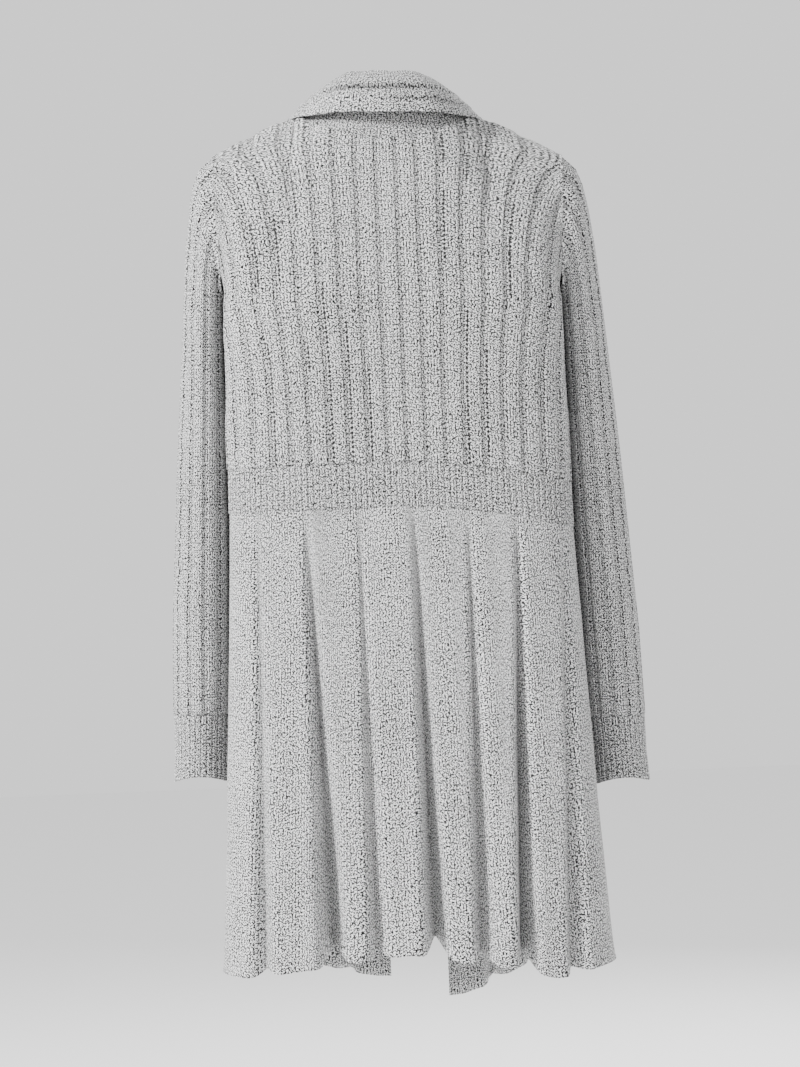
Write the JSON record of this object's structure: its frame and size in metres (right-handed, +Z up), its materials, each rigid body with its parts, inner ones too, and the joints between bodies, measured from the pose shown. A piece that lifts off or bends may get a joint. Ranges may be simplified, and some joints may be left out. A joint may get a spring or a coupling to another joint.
{
  "type": "open-front knitted duster cardigan with shawl collar and flared skirt",
  "caption": "Long open-front knitted cardigan, filled out and hollow, with a ribbed body, long cuffed sleeves, a shawl collar, a fine-ribbed waistband and a flared, fluted skirt.",
  "frame": {"origin": "middle of the neck base, level with the two points where the shoulder seams meet the collar, where the wearer's neck and shoulders carry the garment", "axes": "+Z up along the garment's length, the open front faces -Y, +X is the wearer's left"},
  "size_m": [0.4852, 0.2278, 0.9473],
  "materials": {
    "wide_rib_knit": "black and white marled yarn in wide flat ribs parted by narrow sunk ribs",
    "fine_rib_knit": "black and white marled yarn in fine one by one ribs",
    "skirt_knit": "black and white marled yarn in plain close knit",
    "collar_knit": "black and white marled yarn in plain close knit, folded over"
  },
  "bodies": {
    "root": {"back_bodice": "wide_rib_knit", "left_front_bodice": "wide_rib_knit", "right_front_bodice": "wide_rib_knit", "back_waistband": "fine_rib_knit", "left_front_waistband": "fine_rib_knit", "right_front_waistband": "fine_rib_knit", "back_skirt": "skirt_knit", "left_front_skirt": "skirt_knit", "right_front_skirt": "skirt_knit", "left_front_band": "fine_rib_knit", "right_front_band": "fine_rib_knit", "left_sleeve": "wide_rib_knit", "right_sleeve": "wide_rib_knit", "left_cuff": "fine_rib_knit", "right_cuff": "fine_rib_knit", "shawl_collar": "collar_knit"}
  },
  "joints": []
}
